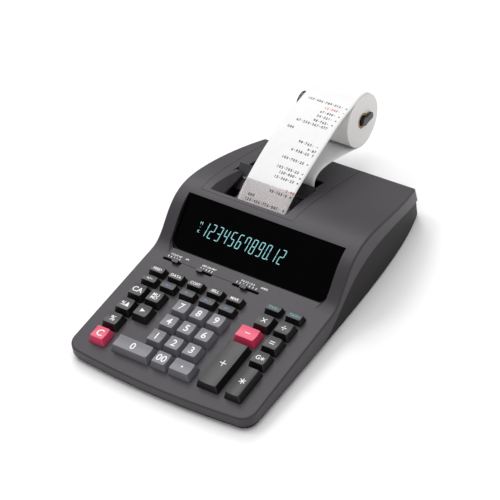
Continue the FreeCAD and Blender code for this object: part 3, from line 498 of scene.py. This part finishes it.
def add_switch_legends():
    """The words and ticks printed on the deck behind the switches."""
    surface = surface_of("upper_case")
    for index, (text, x, ticks) in enumerate(SWITCH_WORDS):
        points, faces = text_outline(text, SWITCH_WORD_HEIGHT, weight=SWITCH_WORD_WEIGHT)
        laid = lay_on_deck(points, deck_place(x, WORDS_RUN), surface)
        mesh_piece(f"switch_legend_{index + 1}", laid, faces, WHITE_INK, "case")
        if not ticks:
            continue
        points, faces = joined(*(shifted(bar(TICK_WIDTH, TICK_LENGTH), tick * MM, 0.0) for tick in ticks))
        laid = lay_on_deck(points, deck_place(0.0, TICKS_RUN), surface)
        mesh_piece(f"switch_ticks_{index + 1}", laid, faces, WHITE_INK, "case")


# ---- display digits ------------------------------------------------------------------
DIGIT_HEIGHT = 0.0146
DIGIT_WIDTH = 0.0043
DIGIT_PITCH = 0.00835
DIGIT_LEAN = 0.20
DIGIT_BASE = 0.0200
DIGIT_LEFT = -0.0650
STROKE = 0.00040
SEGMENT_GAP = 0.35
DOT_GAP = 0.0009
DOT_SIZE = 0.0010
MARK_X = -0.0698
MARK_LEAN = 0.0003
MARK_HEIGHT = 0.0031
MINUS_HEIGHT = 0.002
DISPLAY_LIFT = 0.00006
SEGMENTS = {
    "0": "abcdef", "1": "bc", "2": "abged", "3": "abgcd", "4": "fgbc", "5": "afgcd", "6": "afgedc",
    "7": "fabc", "8": "abcdefg", "9": "abfgcd",
}


def segment_ends(letter):
    """Where one of the seven segments starts and ends in a digit's cell."""
    middle = DIGIT_HEIGHT / 2
    ends = {
        "a": ((0, DIGIT_HEIGHT), (DIGIT_WIDTH, DIGIT_HEIGHT)),
        "b": ((DIGIT_WIDTH, DIGIT_HEIGHT), (DIGIT_WIDTH, middle)),
        "c": ((DIGIT_WIDTH, middle), (DIGIT_WIDTH, 0)),
        "d": ((0, 0), (DIGIT_WIDTH, 0)),
        "e": ((0, 0), (0, middle)),
        "f": ((0, middle), (0, DIGIT_HEIGHT)),
        "g": ((0, middle), (DIGIT_WIDTH, middle)),
    }
    return ends[letter]


def segment_outline(start, end):
    """A six-sided bar between two points, with pointed ends and a small gap."""
    along = Vector((end[0] - start[0], end[1] - start[1]))
    length = along.length
    along.normalize()
    across = Vector((-along.y, along.x)) * STROKE
    a = Vector(start) + along * STROKE * SEGMENT_GAP
    b = Vector(start) + along * (length - STROKE * SEGMENT_GAP)
    inner = along * STROKE
    return [a, a + inner + across, b - inner + across, b, b - inner - across, a + inner - across]


WINDOW_FRONT_EDGE = Vector((0.0, FRONT_Y + 160.6 * MM, 0.0262))


def window_point(x, up):
    """A point just over the window's outer face, from its x and its distance up from the front edge."""
    return WINDOW_FRONT_EDGE + RIGHT * x + WINDOW_UP * up + WINDOW_NORMAL * DISPLAY_LIFT


def add_display_digits():
    """The lit row of digits with its point, and the three small marks on its left."""
    vertices = []
    faces = []

    def add(outline, left):
        base = len(vertices)
        for point in outline:
            lean = point[1] * DIGIT_LEAN
            vertices.append(window_point(left + point[0] + lean, DIGIT_BASE + point[1]))
        faces.append(tuple(range(base, base + len(outline))))

    for index, digit in enumerate("123456789012"):
        left = DIGIT_LEFT + DIGIT_PITCH * index
        for letter in SEGMENTS[digit]:
            add(segment_outline(*segment_ends(letter)), left)
    dot_left = DIGIT_LEFT + DIGIT_PITCH * 9 + DIGIT_WIDTH + DOT_GAP
    add([(0, 0), (DOT_SIZE, 0), (DOT_SIZE, DOT_SIZE), (0, DOT_SIZE)], dot_left)
    mesh_piece("display_digits", vertices, faces, DIGIT_GLOW, "case")
    for index, (text, up) in enumerate((("K", 23.2), ("−", 27.6), ("M", 31.8))):
        points, letter_faces = text_outline(text, MARK_HEIGHT if text != "−" else MINUS_HEIGHT)
        placed = [window_point(MARK_X + MARK_LEAN * up / 4 + x, up * MM + y) for x, y in points]
        mesh_piece(f"display_mark_{index + 1}", placed, letter_faces, DIGIT_GLOW, "case")


# ---- the paper strip -----------------------------------------------------------------
PAPER_LEFT = ROLL_LOW[0]
PAPER_RIGHT = ROLL_HIGH[0]
PAPER_WIDTH = PAPER_RIGHT - PAPER_LEFT
STRIP_CLEARANCE = 0.00065
STRIP_THICKNESS = 0.00012
STRIP_COLUMNS = 16
STRIP_STEPS = 8
BOW_HEIGHT = 0.0030
BOW_FALLOFF = 1.3


def around(centre_y, centre_z, radius, angles):
    """Points on a circle in the side view, at angles in degrees."""
    turns = [math.radians(angle) for angle in angles]
    return [(centre_y + radius * math.cos(turn), centre_z + radius * math.sin(turn)) for turn in turns]


def strip_line():
    """The strip's side view: off the roll's underside, into the slot, round the platen, over the roll."""
    roll = ROLL_RADIUS + STRIP_CLEARANCE
    platen = PLATEN_RADIUS + STRIP_CLEARANCE
    arch = [(338, 54.5), (322, 60.2), (307, 65.2), (295, 68.1), (283, 68.9), (274.5, 65.6), (270.4, 58.0),
            (265.5, 48.0), (256, 42.0), (240, 39.8), (222, 39.8)]
    rising = [(218.5, 62.3), (228, 67.8), (240, 73.6), (262, 81.4), (284, 88.4), (306, 94.6), (328, 100.4)]
    line = around(ROLL_AXIS_Y, ROLL_AXIS_Z, roll, (290, 275, 262, 250))
    line += [behind_front(*point) for point in arch]
    line += around(PLATEN_Y, PLATEN_Z, platen, (270, 240, 210, 180, 150, 125))
    line += [behind_front(*point) for point in rising]
    line += around(ROLL_AXIS_Y, ROLL_AXIS_Z, roll, (107, 92, 77, 62, 47))
    return line


def smooth_line(points, steps):
    """Points on a smooth curve through the given ones (centripetal Catmull-Rom)."""
    ends = [tuple(2 * a - b for a, b in zip(points[0], points[1]))]
    tail = [tuple(2 * a - b for a, b in zip(points[-1], points[-2]))]
    padded = [Vector(p) for p in ends + list(points) + tail]
    line = []
    for p0, p1, p2, p3 in zip(padded, padded[1:], padded[2:], padded[3:]):
        t1 = (p1 - p0).length ** 0.5
        t2 = t1 + (p2 - p1).length ** 0.5
        t3 = t2 + (p3 - p2).length ** 0.5
        for step in range(steps):
            t = t1 + (t2 - t1) * step / steps
            a1 = p0 * ((t1 - t) / t1) + p1 * (t / t1)
            a2 = p1 * ((t2 - t) / (t2 - t1)) + p2 * ((t - t1) / (t2 - t1))
            a3 = p2 * ((t3 - t) / (t3 - t2)) + p3 * ((t - t2) / (t3 - t2))
            b1 = a1 * ((t2 - t) / t2) + a2 * (t / t2)
            b2 = a2 * ((t3 - t) / (t3 - t1)) + a3 * ((t - t1) / (t3 - t1))
            line.append(b1 * ((t2 - t) / (t2 - t1)) + b2 * ((t - t1) / (t2 - t1)))
    line.append(padded[-2])
    return line


STRIP = smooth_line(strip_line(), STRIP_STEPS)
STRIP_LENGTHS = [0.0]
for before, after in zip(STRIP, STRIP[1:]):
    STRIP_LENGTHS.append(STRIP_LENGTHS[-1] + (after - before).length)


def nearest_length(run, z):
    """How far along the strip a side-view point is."""
    target = Vector(behind_front(run, z))
    index = min(range(len(STRIP)), key=lambda i: (STRIP[i] - target).length)
    return STRIP_LENGTHS[index]


EXIT_LENGTH = nearest_length(218.5, 62.3)
ARRIVE_LENGTH = nearest_length(340, 103.2)


def strip_point(x, length, lift=0.0):
    """A point of the strip's surface; between the printer and the roll its left half bows up."""
    index = 0
    while index < len(STRIP) - 2 and STRIP_LENGTHS[index + 1] < length:
        index += 1
    a, b = STRIP[index], STRIP[index + 1]
    share = (length - STRIP_LENGTHS[index]) / (STRIP_LENGTHS[index + 1] - STRIP_LENGTHS[index])
    place = a.lerp(b, share)
    tangent = (b - a).normalized()
    normal = Vector((-tangent.y, tangent.x))
    across = (x - PAPER_LEFT) / PAPER_WIDTH
    along = min(max((length - EXIT_LENGTH) / (ARRIVE_LENGTH - EXIT_LENGTH), 0.0), 1.0)
    bow = BOW_HEIGHT * math.sin(math.pi * along) ** 2 * (1 - across) ** BOW_FALLOFF
    place = place + normal * (lift + bow)
    return Vector((x, place.x, place.y))


def add_paper_strip():
    """The strip as one closed thin sheet, in place of the CAD strip."""
    columns = STRIP_COLUMNS
    vertices = []
    faces = []
    for side in (0.5, -0.5):
        for length in STRIP_LENGTHS:
            for column in range(columns + 1):
                x = PAPER_LEFT + PAPER_WIDTH * column / columns
                vertices.append(strip_point(x, length, side * STRIP_THICKNESS))
    rows = len(STRIP_LENGTHS)
    layer = rows * (columns + 1)

    def index(side, row, column):
        return side * layer + row * (columns + 1) + column

    for row in range(rows - 1):
        for column in range(columns):
            top = [index(0, row, column), index(0, row, column + 1), index(0, row + 1, column + 1),
                   index(0, row + 1, column)]
            faces.append(tuple(top))
            faces.append(tuple(vertex + layer for vertex in reversed(top)))
        for column in (0, columns):
            edge = (index(0, row, column), index(0, row + 1, column), index(1, row + 1, column),
                    index(1, row, column))
            faces.append(edge if column == 0 else tuple(reversed(edge)))
    for row in (0, rows - 1):
        for column in range(columns):
            edge = (index(0, row, column), index(0, row, column + 1), index(1, row, column + 1),
                    index(1, row, column))
            faces.append(tuple(reversed(edge)) if row == 0 else edge)
    strip = mesh_piece("paper_strip_sheet", vertices, faces, STRIP_PAPER_PAINTED_SHADE, "case")
    for polygon in strip.data.polygons:
        polygon.use_smooth = True
    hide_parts("paper_strip")
    return strip


# Each printed line: text, distance of its middle after the strip leaves the case, right end's x, ink.
PRINTED_LINES = [
    ("123'456'776'007' *", 3.0, 9.4, DARK_INK),
    ("000", 8.2, -28.8, DARK_INK),
    ("98'765'0 *", 18.2, 10.0, DARK_INK),
    ("5'00", 23.2, 10.8, RED_INK),
    ("12'560'25 *", 34.6, 9.2, DARK_INK),
    ("120'000' *", 40.5, 8.8, DARK_INK),
    ("102'705'25 +", 45.9, 8.5, DARK_INK),
    ("103'705'25 +", 57.4, 7.8, DARK_INK),
    ("6'938'25 T", 68.4, 7.3, DARK_INK),
    ("9'87", 73.5, 7.3, DARK_INK),
    ("98'765' −", 79.5, 6.7, DARK_INK),
    ("000", 92.6, -30.3, DARK_INK),
    ("67'234'567'077", 103.3, 3.2, DARK_INK),
    ("98'765' +", 108.6, 6.9, DARK_INK),
    ("54'321' +", 114.8, 7.4, DARK_INK),
    ("67'890' +", 120.8, 7.6, DARK_INK),
    ("12'345' −", 127.3, 8.9, RED_INK),
    ("123'456'789'012' *", 134.0, 8.5, DARK_INK),
]
PRINT_PITCH = 0.00264
PRINT_HEIGHT = 0.0028
PRINT_WEIGHT = 0.00018
PRINT_SQUEEZE = 0.95
PRINT_SIGN = 0.0021
PRINT_LINE = 0.00060
PRINT_MARK = 0.0009
FIRST_CELL = 0.4
INK_LIFT = 0.00003


def print_shape(character):
    """One printed character about the middle of its cell."""
    if character == "'":
        return bar(PRINT_MARK, PRINT_MARK)
    if character in "+*":
        return star(4 if character == "+" else 6, PRINT_SIGN, PRINT_LINE)
    if character == "−":
        return bar(PRINT_SIGN, PRINT_LINE)
    return text_outline(character, PRINT_HEIGHT, weight=PRINT_WEIGHT, squeeze=PRINT_SQUEEZE)


def add_strip_printing():
    """The printed lines, laid on the strip's outer face."""
    used = sorted(set("".join(line[0] for line in PRINTED_LINES)) - {" "})
    shapes = {character: print_shape(character) for character in used}
    printed = []
    for index, (text, place, right_x, ink) in enumerate(PRINTED_LINES):
        cells = []
        for column, character in enumerate(reversed(text)):
            if character != " ":
                cells.append(shifted(shapes[character], -(column + FIRST_CELL) * PRINT_PITCH, 0.0))
        points, faces = joined(*cells)
        laid = [strip_point(right_x * MM + x, EXIT_LENGTH + place * MM + y, STRIP_THICKNESS / 2 + INK_LIFT)
                for x, y in points]
        printed.append(mesh_piece(f"printed_line_{index + 1}", laid, faces, ink, "case"))
    return printed


# ---- studio --------------------------------------------------------------------------
FLOOR_REACH = 6.0


def add_floor():
    """A plain pale floor under the object."""
    reach = FLOOR_REACH
    corners = [(-reach, -reach, 0), (reach, -reach, 0), (reach, reach, 0), (-reach, reach, 0)]
    mesh = bpy.data.meshes.new("studio_floor")
    mesh.from_pydata(corners, [], [(0, 1, 2, 3)])
    floor = bpy.data.objects.new("studio_floor", mesh)
    bpy.context.scene.collection.objects.link(floor)
    material, tree, shader = new_material("floor_pale")
    mottle = object_noise(tree, 3.0, 2.0)
    pale = colour_between(tree, mottle.outputs["Fac"], (0.955, 0.955, 0.955), (0.965, 0.965, 0.965))
    tree.links.new(pale, shader.inputs["Base Color"])
    shader.inputs["Roughness"].default_value = 0.9
    shader.inputs["Specular IOR Level"].default_value = 0.1
    mesh.materials.append(material)


def add_area_light(name, place, target, size, power):
    """A round soft light that faces its target; size is its diameter in metres, power in watts."""
    light = bpy.data.lights.new(name, "AREA")
    light.shape = "DISK"
    light.size = size
    light.energy = power
    lamp = bpy.data.objects.new(name, light)
    lamp.location = place
    lamp.rotation_euler = (Vector(target) - Vector(place)).to_track_quat("-Z", "Y").to_euler()
    bpy.context.scene.collection.objects.link(lamp)


def add_lights():
    """Even white surroundings and three soft lights: behind on the left, on the left and above."""
    world = bpy.data.worlds.new("studio")
    world.use_nodes = True
    world.node_tree.nodes["Background"].inputs["Color"].default_value = (1.0, 1.0, 1.0, 1.0)
    world.node_tree.nodes["Background"].inputs["Strength"].default_value = 0.60
    bpy.context.scene.world = world
    add_area_light("back_softbox", (-1.07, 1.03, 1.62), (0, 0, 0.02), 1.2, 15.0)
    add_area_light("left_softbox", (-1.07, -0.2, 1.9), (0, 0, 0.02), 0.8, 8.0)
    add_area_light("top_softbox", (0.1, 0.1, 2.4), (0, 0, 0.02), 1.6, 16.0)


def add_camera():
    """The camera's direction, distance, roll and lens."""
    turn = 0.709515
    height = 0.723758
    roll = -0.162262
    distance = 1.85168
    target = Vector((-0.01389, FRONT_Y + 0.18813, 0.030))
    level = math.cos(height)
    backward = Vector((math.sin(turn) * level, -math.cos(turn) * level, math.sin(height)))
    side = Vector((math.cos(turn), math.sin(turn), 0.0))
    up = backward.cross(side)
    image_right = side * math.cos(roll) + up * math.sin(roll)
    image_up = up * math.cos(roll) - side * math.sin(roll)
    camera = bpy.data.cameras.new("camera")
    camera.lens = 134.65
    camera.sensor_width = 36.0
    camera.clip_end = 50.0
    holder = bpy.data.objects.new("camera", camera)
    basis = Matrix((image_right, image_up, backward)).transposed()
    holder.matrix_world = Matrix.Translation(target + backward * distance) @ basis.to_4x4()
    bpy.context.scene.collection.objects.link(holder)
    bpy.context.scene.camera = holder
    bpy.context.scene.view_settings.view_transform = "Standard"


dress_frame()
add_key_legends()
add_switch_legends()
add_display_digits()
sheet = add_paper_strip()
printing = add_strip_printing()
add_floor()
add_lights()
add_camera()
